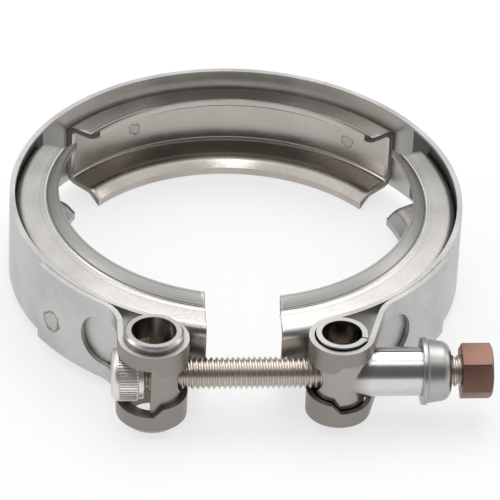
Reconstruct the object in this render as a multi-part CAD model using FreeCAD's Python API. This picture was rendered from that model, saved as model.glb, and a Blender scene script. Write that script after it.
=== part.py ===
import FreeCAD, Part
import math
import os

from FreeCAD import Vector

# Exhaust clamp of the profiled, or V-band, kind, in millimetres.
# A flat stainless strap runs round three pressed V segments that pull two
# pipe flanges together. Each end of the strap is looped round a trunnion,
# folded back on itself and spot welded. One long screw goes through both
# trunnions, and a nut at its right end draws the loops together.
# The origin is the centre of the ring, halfway up the strap. +Z is the pipe's
# axis, +X runs along the screw from its head to its nut, and the screw lies
# on the -Y side. Angles round the ring start at +Y and grow towards +X.

# Strap
strap_outer_radius = 43.6
strap_thickness = 1.0
strap_width = 17.0
lap_gap = 0.1
fold_end_angle = 120.0
fold_bend_radius = 7.5
left_lift_run = 12.5
right_lift_run = 13.9
left_loop_clearance = 0.05
right_loop_clearance = 0.3

# Keyhole slot through each loop
slot_end_angle = 136.0
slot_wide_height = 10.7
slot_narrow_height = 7.3
slot_step_length = 1.8

# Pressed V segments
segment_thickness = 1.2
segment_seat_gap = 0.02
web_height = 12.0
web_bend_radius = 1.4
leg_angle = 5.0
lip_angle = 40.0
lip_inner_radius = 34.2
lip_bend_radius = 3.5
segment_height = 18.3
back_segment_angle = 98.6
back_segment_drop = 1.5
left_segment_lift = 0.6
segment_gap_angle = 14.4
segment_turn_angle = 1.9
left_front_end = 8.1
right_front_end = 6.0
# Each bend is drawn as this many flats, and so are the collar's and head's rounds
bend_flats = 2

# Spot weld that joins each fold to the strap under it
weld_nugget_diameter = 3.0
fold_weld_angle = 126.5

# Screw axis, measured from the strap's outer face, and the two trunnions
screw_stand_off = 2.15
left_trunnion_diameter = 11.2
left_trunnion_bore = 8.3
left_trunnion_length = 20.0
left_trunnion_chamfer = 0.45
head_pocket_clearance = 0.35
shank_clearance = 0.35
right_trunnion_diameter = 9.6
right_trunnion_wall = 1.1
right_trunnion_length = 18.2
seam_point_rise = 0.25
seam_point_angle = -22.0

# Sleeve that is one piece with the right trunnion
sleeve_step = 0.2
sleeve_length = 17.3
sleeve_blend_radius = 1.5
seam_width = 0.3

# Domed collar on the sleeve's end
collar_rim_diameter = 12.7
collar_rim_thickness = 0.9
collar_body_diameter = 12.0
collar_taper = 0.35
collar_length = 5.5
collar_dome_radius = 2.1
collar_lap = 2.1
collar_fit = 0.05
collar_bore_clearance = 0.3

# Screw and nut
thread_diameter = 6.0
thread_fit = 0.05
screw_length = 65.0
screw_tip_chamfer = 0.6
head_diameter = 10.1
head_length = 5.9
head_round = 1.0
head_neck_diameter = 9.3
head_neck_length = 1.1
head_seat_offset = 0.6
head_seat_gap = 1.1
nut_across_flats = 9.5
nut_length = 5.8
nut_inset = 0.05
nut_corner_angle = 41.3
nut_chamfer_angle = 30.0
nut_face_share = 0.96

# Lengths worked out from the sizes above
AXIS_Z = Vector(0, 0, 1)
AXIS_X = Vector(1, 0, 0)
ORIGIN = Vector(0, 0, 0)
half_thickness = strap_thickness / 2
strap_inner_radius = strap_outer_radius - strap_thickness
fold_middle_radius = strap_outer_radius + lap_gap + half_thickness
fold_outer_radius = fold_middle_radius + half_thickness
screw_axis_distance = strap_outer_radius + screw_stand_off
left_radius = left_trunnion_diameter / 2
right_radius = right_trunnion_diameter / 2
sleeve_radius = right_radius - sleeve_step


def ring_point(radius, angle):
    """A point on a circle round the ring's axis, with the angle from +Y towards +X."""
    turn = math.radians(angle)
    return Vector(radius * math.sin(turn), radius * math.cos(turn), 0)


def trunnion_place(radius, clearance):
    """Distance from the middle at which a trunnion rests on the strap's outer face."""
    reach = strap_outer_radius + clearance + radius
    return math.sqrt(reach ** 2 - screw_axis_distance ** 2)


left_x = -trunnion_place(left_radius, left_loop_clearance)
right_x = trunnion_place(right_radius, right_loop_clearance)
sleeve_end = right_x + sleeve_length
head_seat_x = left_x - head_seat_offset
screw_shoulder_x = head_seat_x - head_seat_gap
screw_tip_x = screw_shoulder_x + screw_length
nut_outer_x = screw_tip_x + nut_inset
nut_inner_x = nut_outer_x - nut_length


# A path is a list of runs. A straight run is ("line", start, end). A round run
# is ("arc", centre, radius, from, to), with angles in degrees from +X, and it
# turns left where "to" is the larger angle.

def polar(centre, radius, angle):
    turn = math.radians(angle)
    return centre + Vector(radius * math.cos(turn), radius * math.sin(turn), 0)


def run_edges(run, shift, flats):
    """The run's edges moved sideways by shift, to the left of travel where positive.

    A round run is one true arc, or as many straight flats as asked for.
    """
    if run[0] == "line":
        start, end = run[1], run[2]
        along = (end - start).normalize()
        left = Vector(-along.y, along.x, 0) * shift
        return [Part.makeLine(start + left, end + left)]
    centre, radius, start, end = run[1:]
    moved = radius - shift if end > start else radius + shift
    if not flats:
        points = [polar(centre, moved, start + (end - start) * share / 2) for share in range(3)]
        return [Part.Arc(*points).toShape()]
    step = (end - start) / flats
    points = [polar(centre, moved, start + step * count) for count in range(flats + 1)]
    return [Part.makeLine(first, second) for first, second in zip(points, points[1:])]


def run_ends(run, shift):
    if run[0] == "line":
        edge = run_edges(run, shift, 0)[0]
        return edge.Vertexes[0].Point, edge.Vertexes[1].Point
    centre, radius, start, end = run[1:]
    moved = radius - shift if end > start else radius + shift
    return polar(centre, moved, start), polar(centre, moved, end)


def ribbon(path, half, flats=0):
    """A flat face that follows the path, half to each side of it."""
    edges = []
    for run in path:
        edges += run_edges(run, half, flats)
        edges += run_edges(run, -half, flats)
    edges.append(Part.makeLine(run_ends(path[0], half)[0], run_ends(path[0], -half)[0]))
    edges.append(Part.makeLine(run_ends(path[-1], half)[1], run_ends(path[-1], -half)[1]))
    return Part.Face(Part.Wire(Part.__sortEdges__(edges)))


def upright(face, height):
    """A solid of the given height on the flat face, half above and half below the middle."""
    solid = face.extrude(AXIS_Z * height)
    solid.translate(AXIS_Z * (-height / 2))
    return solid


def mirrored(shape):
    return shape.mirror(ORIGIN, AXIS_X)


def heading(start, end):
    return math.degrees(math.atan2(end.y - start.y, end.x - start.x))


def lift_angle(radius, clearance, lift_run):
    """The ring angle where the fold leaves the ring, lift_run along it from the trunnion."""
    place = trunnion_place(radius, clearance)
    trunnion_angle = 180.0 - math.degrees(math.atan2(place, screw_axis_distance))
    return trunnion_angle - math.degrees(lift_run / fold_middle_radius)


def loop_path(radius, clearance, lift_run):
    """The strap's right end, from the back of the ring, round a trunnion and back over itself.

    Round the ring, round the trunnion, straight back, and round the ring again
    on the outside. The left end is the mirror image of the same path.
    """
    centre = Vector(trunnion_place(radius, clearance), -screw_axis_distance, 0)
    wrap_radius = radius + clearance + half_thickness
    lift = lift_angle(radius, clearance, lift_run)
    bend_centre = ring_point(fold_middle_radius + fold_bend_radius, lift)
    apart = (bend_centre - centre).Length
    lean = math.degrees(math.asin((wrap_radius + fold_bend_radius) / apart))
    straight_heading = heading(centre, bend_centre) + lean
    wrap_start = heading(centre, ORIGIN)
    wrap_end = straight_heading + 270.0
    bend_start = straight_heading + 90.0
    bend_end = 90.0 - lift + 180.0
    return [
        ("arc", ORIGIN, strap_inner_radius + half_thickness, 90.0, wrap_start - 180.0),
        ("arc", centre, wrap_radius, wrap_start, wrap_end),
        ("line", polar(centre, wrap_radius, wrap_end), polar(bend_centre, fold_bend_radius, bend_start)),
        ("arc", bend_centre, fold_bend_radius, bend_start, bend_end),
        ("arc", ORIGIN, fold_middle_radius, 90.0 - lift, 90.0 - fold_end_angle),
    ]


def slot_cutter(radius, clearance, lift_run):
    """What is punched out of the right loop: wide for the head or sleeve, narrow for the shank."""
    place = trunnion_place(radius, clearance)
    path = loop_path(radius, clearance, lift_run)
    lift = lift_angle(radius, clearance, lift_run)
    wide = slot_wide_height / 2
    narrow = slot_narrow_height / 2
    reach = radius + clearance + 2 * strap_thickness
    # Wide part, along the outer strand and on to the fold, where its end is round
    round_turn = math.degrees(wide / fold_middle_radius)
    shoulder_angle = slot_end_angle + round_turn
    on_fold = ("arc", ORIGIN, fold_middle_radius, 90.0 - lift, 90.0 - shoulder_angle)
    wrap_centre, wrap_radius, wrap_end = path[1][1], path[1][2], path[1][4]
    lift_runs = [("arc", wrap_centre, wrap_radius, 270.0, wrap_end)] + path[2:4]
    if shoulder_angle < lift:
        lift_runs = lift_runs + [on_fold]
    half_cut = half_thickness + lap_gap / 2
    strand = upright(ribbon(lift_runs, half_cut), slot_wide_height)
    whole_fold = ("arc", ORIGIN, fold_middle_radius, 90.0 - shoulder_angle, 90.0 - slot_end_angle)
    round_end = upright(ribbon([whole_fold], half_cut), slot_wide_height)
    outwards = ring_point(1.0, shoulder_angle)
    drill = Part.makeCylinder(wide, fold_outer_radius, ORIGIN, outwards)
    round_end = round_end.common(drill)
    # Front of the loop, with the slanted step from wide to narrow
    outline = [
        Vector(place + reach, 0, wide),
        Vector(place, 0, wide),
        Vector(place - slot_step_length, 0, narrow),
        Vector(place - reach, 0, narrow),
        Vector(place - reach, 0, -narrow),
        Vector(place - slot_step_length, 0, -narrow),
        Vector(place, 0, -wide),
        Vector(place + reach, 0, -wide),
    ]
    front = Part.Face(Part.makePolygon(outline + outline[:1]))
    front.translate(Vector(0, -screw_axis_distance, 0))
    front = front.extrude(Vector(0, -reach, 0))
    # Round end on the gap side, where the shank comes out
    axis_point = Vector(place - reach, -screw_axis_distance, 0)
    shank_end = Part.makeCylinder(narrow, reach, axis_point, AXIS_X)
    return strand.fuse([round_end, front, shank_end])


def weld_nugget(angle):
    """The metal that joins a fold to the strap under it."""
    start = ring_point(strap_outer_radius - half_thickness, angle)
    length = strap_thickness + lap_gap
    return Part.makeCylinder(weld_nugget_diameter / 2, length, start, ring_point(1.0, angle))


def strap_half(radius, clearance, lift_run):
    """The right half of the strap with its loop, slot and welds."""
    solid = upright(ribbon(loop_path(radius, clearance, lift_run), half_thickness), strap_width)
    solid = solid.cut(slot_cutter(radius, clearance, lift_run))
    return solid.fuse(weld_nugget(fold_weld_angle))


def make_strap():
    right_half = strap_half(right_radius, right_loop_clearance, right_lift_run)
    left_half = mirrored(strap_half(left_radius, left_loop_clearance, left_lift_run))
    return right_half.fuse(left_half).removeSplitter()


def rounded_path(corners, radii):
    """Straight and round runs through the corners, each inner corner rounded by its radius."""
    path = []
    place = corners[0]
    for before, corner, after, radius in zip(corners, corners[1:], corners[2:], radii):
        arriving = (corner - before).normalize()
        leaving = (after - corner).normalize()
        turn = math.degrees(math.atan2(arriving.cross(leaving).z, arriving.dot(leaving)))
        back = radius * math.tan(math.radians(abs(turn) / 2))
        side = 1.0 if turn > 0 else -1.0
        start = corner - arriving * back
        centre = start + Vector(-arriving.y, arriving.x, 0) * (side * radius)
        first = heading(centre, start)
        path.append(("line", place, start))
        path.append(("arc", centre, radius, first, first + turn))
        place = corner + leaving * back
    path.append(("line", place, corners[-1]))
    return path


def segment_section():
    """The segment's cross section as a flat face, with the ring's radius along X.

    A flat web lies against the strap, two legs slope away from it towards the
    pipe, and each leg ends in a lip that flares out. The lip's end is cut square
    to the ring's radius.
    """
    half = segment_thickness / 2
    web_radius = strap_inner_radius - segment_seat_gap - half
    web_top = web_height / 2
    leg_slope = math.tan(math.radians(leg_angle))
    lip_slope = math.tan(math.radians(lip_angle))
    tip_top = segment_height / 2 - half / math.cos(math.radians(lip_angle))
    # Where the middle lines of leg and lip meet
    rise = tip_top - web_top + lip_slope * lip_inner_radius - leg_slope * web_radius
    knee_radius = rise / (lip_slope - leg_slope)
    knee_top = web_top + leg_slope * (web_radius - knee_radius)
    # The lip is drawn too long by its thickness and then trimmed
    end_radius = lip_inner_radius - segment_thickness
    end_top = tip_top + lip_slope * segment_thickness
    corners = [
        Vector(end_radius, -end_top, 0),
        Vector(knee_radius, -knee_top, 0),
        Vector(web_radius, -web_top, 0),
        Vector(web_radius, web_top, 0),
        Vector(knee_radius, knee_top, 0),
        Vector(end_radius, end_top, 0),
    ]
    radii = [lip_bend_radius, web_bend_radius, web_bend_radius, lip_bend_radius]
    section = ribbon(rounded_path(corners, radii), half, bend_flats)
    trim_corner = Vector(0, -segment_height, -half)
    trim = Part.makeBox(lip_inner_radius, 2 * segment_height, segment_thickness, trim_corner)
    return section.cut(trim).Faces[0]


def make_segment(start, span, lift=0.0):
    """A segment from the start angle, turned round the ring towards +X by span."""
    section = segment_section()
    section.rotate(ORIGIN, AXIS_X, 90)
    section.rotate(ORIGIN, AXIS_Z, 90 - start - span)
    segment = section.revolve(ORIGIN, AXIS_Z, span)
    segment.translate(AXIS_Z * lift)
    return segment


def side_segment(start, span, front_end, side, lift=0.0):
    """A side segment, cut off square to the screw at its front end."""
    segment = make_segment(start, span, lift)
    size = 2 * strap_outer_radius
    low_x = -side * front_end if side < 0 else -size + front_end
    cutter = Part.makeBox(size, size, size, Vector(low_x, -size, -size / 2))
    if side < 0:
        cutter.translate(Vector(-2 * front_end, 0, 0))
    return segment.cut(cutter)


def make_left_trunnion():
    """A thick tube across the loop, cut away on the left for the screw's head."""
    height = left_trunnion_length
    centre = Vector(left_x, -screw_axis_distance, 0)
    base = centre - AXIS_Z * (height / 2)
    tube = Part.makeCylinder(left_radius, height, base)
    rims = [edge for edge in tube.Edges if edge.Curve.TypeId == "Part::GeomCircle"]
    tube = tube.makeChamfer(left_trunnion_chamfer, rims)
    tube = tube.cut(Part.makeCylinder(left_trunnion_bore / 2, height, base))
    pocket_half = head_diameter / 2 + head_pocket_clearance
    pocket_corner = Vector(head_seat_x - 2 * left_radius, -screw_axis_distance - 2 * left_radius, -pocket_half)
    pocket = Part.makeBox(2 * left_radius, 4 * left_radius, 2 * pocket_half, pocket_corner)
    shank_hole = Part.makeCylinder(thread_diameter / 2 + shank_clearance, 2 * left_radius, centre, AXIS_X)
    return tube.cut([pocket, shank_hole])


def teardrop(radius, height, base):
    """A round bar with a blunt point, where the two edges of rolled sheet meet."""
    reach = radius + seam_point_rise
    lean = math.acos(radius / reach)
    foot_x = radius * math.cos(lean)
    foot_y = radius * math.sin(lean)
    point = base + AXIS_X * reach
    foot = [base + Vector(foot_x, foot_y, 0), base + Vector(foot_x, -foot_y, 0)]
    wedge = Part.Face(Part.makePolygon([base, foot[1], point, foot[0], base])).extrude(AXIS_Z * height)
    wedge.rotate(base, AXIS_Z, seam_point_angle)
    return Part.makeCylinder(radius, height, base).fuse(wedge)


def make_right_trunnion():
    """A barrel rolled from sheet, whose ends run on as the sleeve for the screw."""
    height = right_trunnion_length
    centre = Vector(right_x, -screw_axis_distance, 0)
    base = centre - AXIS_Z * (height / 2)
    barrel = Part.makeCylinder(right_radius, height, base)
    sleeve = Part.makeCylinder(sleeve_radius, sleeve_length, centre, AXIS_X)
    body = barrel.fuse(sleeve)
    joint = [edge for edge in body.Edges if edge.Curve.TypeId == "Part::GeomBSplineCurve"]
    body = body.makeFillet(sleeve_blend_radius, joint)
    body = body.fuse(teardrop(right_radius, height, base))
    bore = teardrop(right_radius - right_trunnion_wall, height, base)
    hole_start = Vector(right_x - 2 * right_radius, -screw_axis_distance, 0)
    hole_length = sleeve_end - hole_start.x
    shank_hole = Part.makeCylinder(thread_diameter / 2 + shank_clearance, hole_length, hole_start, AXIS_X)
    # The open seam: along the sleeve's top, and down the barrel above and below the sleeve
    seam_corner = centre + Vector(right_radius, -seam_width / 2, 0)
    sleeve_seam = Part.makeBox(sleeve_length, seam_width, 2 * sleeve_radius, seam_corner)
    barrel_seam = Part.makeBox(2 * right_radius, seam_width, height, base - Vector(0, seam_width / 2, 0))
    blend_reach = sleeve_radius + sleeve_blend_radius
    bridge_corner = centre - Vector(0, right_radius, blend_reach)
    bridge = Part.makeBox(2 * right_radius, 2 * right_radius, 2 * blend_reach, bridge_corner)
    barrel_seam = barrel_seam.cut(bridge)
    barrel_seam.rotate(centre, AXIS_Z, seam_point_angle)
    return body.cut([bore, shank_hole, sleeve_seam, barrel_seam])


def turned(profile):
    """A turned piece on the screw's axis, from its profile's (distance along +X, radius) points."""
    points = [Vector(along, radius, 0) for along, radius in profile]
    solid = Part.Face(Part.makePolygon(points + points[:1])).revolve(ORIGIN, AXIS_X, 360)
    solid.translate(Vector(0, -screw_axis_distance, 0))
    return solid


def round_points(along, radius, size, start, end):
    """The points of a round corner of the given size about (along, radius), in bend_flats flats.

    The angles start and end are in degrees from +X towards the rim.
    """
    points = []
    for count in range(bend_flats + 1):
        turn = math.radians(start + (end - start) * count / bend_flats)
        points.append((along + size * math.cos(turn), radius + size * math.sin(turn)))
    return points


def make_collar():
    """A domed cup that sits over the sleeve's end and takes the nut's pull."""
    start = sleeve_end - collar_lap
    end = start + collar_length
    rim = collar_rim_diameter / 2
    body = collar_body_diameter / 2
    neck = body - collar_taper
    bore = thread_diameter / 2 + collar_bore_clearance
    socket = sleeve_radius + collar_fit
    dome = collar_dome_radius
    return turned([
        (start, socket),
        (start, rim),
        (start + collar_rim_thickness, rim),
        (start + collar_rim_thickness, body),
    ] + round_points(end - dome, neck - dome, dome, 90.0, 0.0) + [
        (end, bore),
        (sleeve_end + collar_fit, bore),
        (sleeve_end + collar_fit, socket),
    ])


def make_screw():
    """The screw: a round knurled head, a smooth neck under it and a long shank."""
    start = screw_shoulder_x - head_length
    head = head_diameter / 2
    neck = head_neck_diameter / 2
    neck_start = screw_shoulder_x - head_neck_length
    shank = thread_diameter / 2
    return turned([
        (start, 0),
    ] + round_points(start + head_round, head - head_round, head_round, 180.0, 90.0) + [
        (neck_start, head),
        (neck_start, neck),
        (screw_shoulder_x, neck),
        (screw_shoulder_x, shank),
        (screw_tip_x - screw_tip_chamfer, shank),
        (screw_tip_x, shank - screw_tip_chamfer),
        (screw_tip_x, 0),
    ])


def make_nut():
    """A plain hexagon nut with the corners of its outer face turned off."""
    corner = nut_across_flats / 2 / math.cos(math.radians(30))
    centre = Vector(nut_inner_x, -screw_axis_distance, 0)
    points = []
    for count in range(7):
        turn = math.radians(nut_corner_angle + 60 * count)
        points.append(centre + Vector(0, -corner * math.sin(turn), corner * math.cos(turn)))
    nut = Part.Face(Part.makePolygon(points)).extrude(AXIS_X * nut_length)
    face_radius = nut_across_flats / 2 * nut_face_share
    slope = math.tan(math.radians(nut_chamfer_angle))
    fall = (corner - face_radius) * slope
    envelope = turned([
        (nut_inner_x, 0),
        (nut_inner_x, corner - fall / 4),
        (nut_inner_x + fall / 4, corner),
        (nut_outer_x - fall, corner),
        (nut_outer_x, face_radius),
        (nut_outer_x, 0),
    ])
    bore = Part.makeCylinder(thread_diameter / 2 + thread_fit, nut_length, centre, AXIS_X)
    return nut.common(envelope).cut(bore)


back_start = segment_turn_angle - back_segment_angle / 2
back_end = back_start + back_segment_angle
right_start = back_end + segment_gap_angle
left_end = back_start - segment_gap_angle

nodes = {
    "strap_band": make_strap(),
    "back_segment": make_segment(back_start, back_segment_angle, -back_segment_drop),
    "left_segment": side_segment(-180.0, left_end + 180.0, left_front_end, -1, left_segment_lift),
    "right_segment": side_segment(right_start, 180.0 - right_start, right_front_end, 1),
    "left_trunnion": make_left_trunnion(),
    "right_trunnion": make_right_trunnion(),
    "sleeve_collar": make_collar(),
    "clamp_screw": make_screw(),
    "hex_nut": make_nut(),
}

os.makedirs("parts", exist_ok=True)
for name, shape in nodes.items():
    solids = shape.Solids
    box = shape.BoundBox
    print(name, "solids", len(solids), "valid", shape.isValid(), "volume", round(shape.Volume, 2))
    print("   x", round(box.XMin, 2), round(box.XMax, 2), "y", round(box.YMin, 2), round(box.YMax, 2),
          "z", round(box.ZMin, 2), round(box.ZMax, 2))
    shape.exportStep("parts/" + name + ".step")
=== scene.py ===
# %% [markdown]
# This lesson dresses a V-band exhaust clamp. The clamp is a flat stainless
# strap round three pressed V segments. A long screw runs through two trunnions
# that sit in the strap's end loops, and a copper-brown nut draws them together.
# The CAD frame comes first: it already has every piece at its real place, in
# metres, so the lesson only has to add looks and fine detail.

# %% Open the frame
import bpy
import math
from mathutils import Matrix, Vector


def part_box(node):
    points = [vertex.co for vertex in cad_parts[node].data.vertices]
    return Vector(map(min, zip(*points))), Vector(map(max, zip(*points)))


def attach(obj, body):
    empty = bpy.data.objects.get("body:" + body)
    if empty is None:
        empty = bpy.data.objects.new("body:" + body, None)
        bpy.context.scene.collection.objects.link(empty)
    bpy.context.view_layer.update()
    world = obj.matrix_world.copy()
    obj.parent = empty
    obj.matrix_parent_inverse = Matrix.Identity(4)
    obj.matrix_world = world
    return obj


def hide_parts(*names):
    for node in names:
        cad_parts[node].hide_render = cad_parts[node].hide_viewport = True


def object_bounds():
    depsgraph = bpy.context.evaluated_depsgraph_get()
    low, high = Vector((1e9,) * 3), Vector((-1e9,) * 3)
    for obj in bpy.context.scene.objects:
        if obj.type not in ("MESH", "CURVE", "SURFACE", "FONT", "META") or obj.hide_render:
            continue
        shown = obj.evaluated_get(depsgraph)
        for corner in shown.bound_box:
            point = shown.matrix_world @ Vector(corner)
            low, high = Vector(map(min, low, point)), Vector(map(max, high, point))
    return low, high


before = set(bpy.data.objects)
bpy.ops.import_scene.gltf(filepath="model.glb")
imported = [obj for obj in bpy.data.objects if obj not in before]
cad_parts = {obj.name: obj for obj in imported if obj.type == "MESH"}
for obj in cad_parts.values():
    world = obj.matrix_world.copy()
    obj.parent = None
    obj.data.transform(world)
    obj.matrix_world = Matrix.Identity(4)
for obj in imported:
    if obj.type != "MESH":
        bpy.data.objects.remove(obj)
cad_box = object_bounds()

# %% [markdown]
# The camera stands where the photographer stood: about a metre away, in front
# of the screw and a little to its left, looking down by some 36 degrees. A
# long lens keeps the ring's ellipse as flat as it is in the photograph. The
# camera was tilted by under three degrees, so the screw runs slightly downhill.

# %% Place the camera
CAMERA_DISTANCE = 0.959678
CAMERA_TURN = math.radians(5.391)
CAMERA_DOWN = math.radians(35.635)
CAMERA_TILT = math.radians(2.711)
CAMERA_SHIFT_RIGHT = 0.003144
CAMERA_SHIFT_UP = -0.003730
LENS_PIXELS = 4959.153
FRAME_PIXELS = 500.0
SENSOR_WIDTH = 36.0
NEAREST_SEEN = 0.01


def camera_axes():
    """The camera's three directions and the point that it looks at."""
    forward = Vector((math.sin(CAMERA_TURN) * math.cos(CAMERA_DOWN),
                      math.cos(CAMERA_TURN) * math.cos(CAMERA_DOWN),
                      -math.sin(CAMERA_DOWN)))
    level_right = Vector((math.cos(CAMERA_TURN), -math.sin(CAMERA_TURN), 0.0))
    level_up = level_right.cross(forward)
    right = math.cos(CAMERA_TILT) * level_right + math.sin(CAMERA_TILT) * level_up
    up = -math.sin(CAMERA_TILT) * level_right + math.cos(CAMERA_TILT) * level_up
    target = level_right * CAMERA_SHIFT_RIGHT + level_up * CAMERA_SHIFT_UP
    return forward, right, up, target


forward, right, up, target = camera_axes()
camera_data = bpy.data.cameras.new("photo_camera")
camera_data.sensor_width = SENSOR_WIDTH
camera_data.lens = LENS_PIXELS / FRAME_PIXELS * SENSOR_WIDTH
camera_data.clip_start = NEAREST_SEEN
camera = bpy.data.objects.new("photo_camera", camera_data)
bpy.context.scene.collection.objects.link(camera)
turn = Matrix((right, up, -forward)).transposed().to_4x4()
camera.matrix_world = Matrix.Translation(target - forward * CAMERA_DISTANCE) @ turn
bpy.context.scene.camera = camera
print("lens", round(camera_data.lens, 1), "mm, camera at",
      [round(v, 3) for v in camera.matrix_world.translation])

# %% [markdown]
# The room and the finishes are both built from shader nodes, so the few steps
# that they share are written once, before either of them.

# %% Write helpers for shader nodes


def math_node(nodes, operation, *values, kind="ShaderNodeMath"):
    """A Math node; the values go into its second and later inputs."""
    node = nodes.new(kind)
    node.operation = operation
    for index, value in enumerate(values, start=1):
        node.inputs[index].default_value = value
    return node


def vector_node(nodes, operation, *values):
    """The same with a Vector Math node."""
    return math_node(nodes, operation, *values, kind="ShaderNodeVectorMath")


def map_range(nodes, **limits):
    """A Map Range node; each limit is named as its socket is."""
    node = nodes.new("ShaderNodeMapRange")
    for label, value in limits.items():
        node.inputs[label.replace("_", " ")].default_value = value
    return node


def colour_mix(nodes, **colours):
    """A Mix node for colours; A and B can be set here or linked later."""
    node = nodes.new("ShaderNodeMix")
    node.data_type = "RGBA"
    for label, colour in colours.items():
        node.inputs[label].default_value = (*colour, 1.0)
    return node


print("four helpers for shader nodes")

# %% [markdown]
# Polished steel has no colour of its own to speak of: what it shows is the
# room. So the room matters as much as the metal. The sleeve in the photograph
# is a good mirror to read it from. Its top is white, so a wide soft light hangs
# overhead and a little behind. A black band runs along its middle, so the side
# where the photographer stands is dark. Below that band it shows the pale table.
# The small lamp overhead in front puts the bright band on the back segment's lip.

# %% Build the studio
LAMPS = [
    # name, place, size, power
    ("top_soft", (0.10, 0.28, 0.75), 0.60, 1.6),
    ("left_soft", (-0.80, 0.05, 0.45), 0.45, 1.0),
    ("right_soft", (0.85, 0.20, 0.50), 0.45, 0.7),
    ("front_top", (0.0, -0.235, 0.755), 0.17, 0.34),
]
# The room round the screw's direction, from the front horizon (0) over the top
# (0.5) to the back horizon (1), as (place, grey)
ROOM = [
    (0.0, 0.30), (0.08, 0.12), (0.33, 0.13), (0.39, 1.0),
    (0.76, 1.05), (0.84, 0.50), (1.0, 0.36)]
# The room's two sides are one plain grey, reached between these shares of left or right
ROOM_SIDES = 0.50
SIDES_START = 0.55
SIDES_FULL = 0.92
ROOM_STRENGTH = 1.12
FLOOR_GLOW = 0.70
FLOOR_SIZE = 6.0
FLOOR_GREY = 0.93
FLOOR_GAP = 0.0002


def add_lamp(name, place, size, power):
    """A round area lamp that points at the object."""
    data = bpy.data.lights.new(name, "AREA")
    data.shape = "DISK"
    data.size = size
    data.energy = power
    lamp = bpy.data.objects.new(name, data)
    bpy.context.scene.collection.objects.link(lamp)
    lamp.location = place
    lamp.rotation_euler = (-Vector(place)).to_track_quat("-Z", "Y").to_euler()


for lamp_facts in LAMPS:
    add_lamp(*lamp_facts)

scene = bpy.context.scene
scene.view_settings.view_transform = "Standard"
world = bpy.data.worlds.new("studio")
scene.world = world
world.use_nodes = True
nodes = world.node_tree.nodes
links = world.node_tree.links
nodes.clear()
where = nodes.new("ShaderNodeTexCoord")
split = nodes.new("ShaderNodeSeparateXYZ")
front = math_node(nodes, "MULTIPLY", -1.0)
angle = math_node(nodes, "ARCTAN2")
share = math_node(nodes, "DIVIDE", math.pi)
ramp = nodes.new("ShaderNodeValToRGB")
ramp.color_ramp.interpolation = "EASE"
stops = ramp.color_ramp.elements
for place, grey in ROOM[1:-1]:
    stops.new(place)
for place, grey in ROOM:
    stop = min(stops, key=lambda item: abs(item.position - place))
    stop.color = (grey, grey, grey, 1.0)
aside = math_node(nodes, "ABSOLUTE")
side_share = map_range(nodes, From_Min=SIDES_START, From_Max=SIDES_FULL)
side_share.interpolation_type = "SMOOTHSTEP"
room = colour_mix(nodes, B=(ROOM_SIDES, ROOM_SIDES, ROOM_SIDES))
background = nodes.new("ShaderNodeBackground")
background.inputs["Strength"].default_value = ROOM_STRENGTH
output = nodes.new("ShaderNodeOutputWorld")
links.new(where.outputs["Generated"], split.inputs["Vector"])
links.new(split.outputs["Y"], front.inputs[0])
links.new(split.outputs["Z"], angle.inputs[0])
links.new(front.outputs[0], angle.inputs[1])
links.new(angle.outputs[0], share.inputs[0])
links.new(share.outputs[0], ramp.inputs["Fac"])
links.new(split.outputs["X"], aside.inputs[0])
links.new(aside.outputs[0], side_share.inputs["Value"])
links.new(ramp.outputs["Color"], room.inputs["A"])
links.new(side_share.outputs["Result"], room.inputs["Factor"])
links.new(room.outputs["Result"], background.inputs["Color"])
links.new(background.outputs["Background"], output.inputs["Surface"])

floor_low = cad_box[0][2] - FLOOR_GAP
bpy.ops.object.select_all(action="DESELECT")
bpy.ops.mesh.primitive_plane_add(size=FLOOR_SIZE, location=(0.0, 0.0, floor_low))
floor = bpy.context.active_object
floor.name = "floor"
floor_paint = bpy.data.materials.new("floor_paint")
floor_paint.use_nodes = True
floor_shader = floor_paint.node_tree.nodes["Principled BSDF"]
floor_shader.inputs["Base Color"].default_value = (FLOOR_GREY, FLOOR_GREY, FLOOR_GREY, 1.0)
floor_shader.inputs["Roughness"].default_value = 0.9
paint = floor_paint.node_tree
glow = paint.nodes.new("ShaderNodeEmission")
path = paint.nodes.new("ShaderNodeLightPath")
seen = math_node(paint.nodes, "ADD")
seen_too = math_node(paint.nodes, "ADD")
seen_too.use_clamp = True
amount = math_node(paint.nodes, "MULTIPLY", FLOOR_GLOW)
both = paint.nodes.new("ShaderNodeMixShader")
paint.links.new(path.outputs["Is Camera Ray"], seen.inputs[0])
paint.links.new(path.outputs["Is Glossy Ray"], seen.inputs[1])
paint.links.new(seen.outputs[0], seen_too.inputs[0])
paint.links.new(path.outputs["Is Transmission Ray"], seen_too.inputs[1])
paint.links.new(seen_too.outputs[0], amount.inputs[0])
paint.links.new(amount.outputs[0], both.inputs["Fac"])
paint.links.new(floor_shader.outputs["BSDF"], both.inputs[1])
paint.links.new(glow.outputs["Emission"], both.inputs[2])
paint.links.new(both.outputs["Shader"], paint.nodes["Material Output"].inputs["Surface"])
floor.data.materials.append(floor_paint)
print("floor at", round(floor_low, 4), "m,", len(LAMPS), "lamps")

# %% [markdown]
# Every steel face has two things in common: a fine grain from rolling or
# turning, and broad cloudy patches where hands and cutting oil have been. Three
# more effects are local: a spot weld's mark, a zone round an upright axis and a
# line round the ring. Each of these is a node group, built once, with its own
# inputs, so each piece can take its own amount.

# %% Make the shared surface effects
GRAIN_LINES_PER_METRE = 2200.0
# A weld mark: how far and how finely its outline wobbles, then its disc's edge, its
# ring's middle and its ring's edge as shares of the mark's radius
WELD_WOBBLE = 0.0022
WOBBLE_SCALE = 700.0
DISC_EDGE = (1.05, 0.85)
RING_MIDDLE = 0.95
RING_EDGE = (0.16, 0.04)


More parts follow.
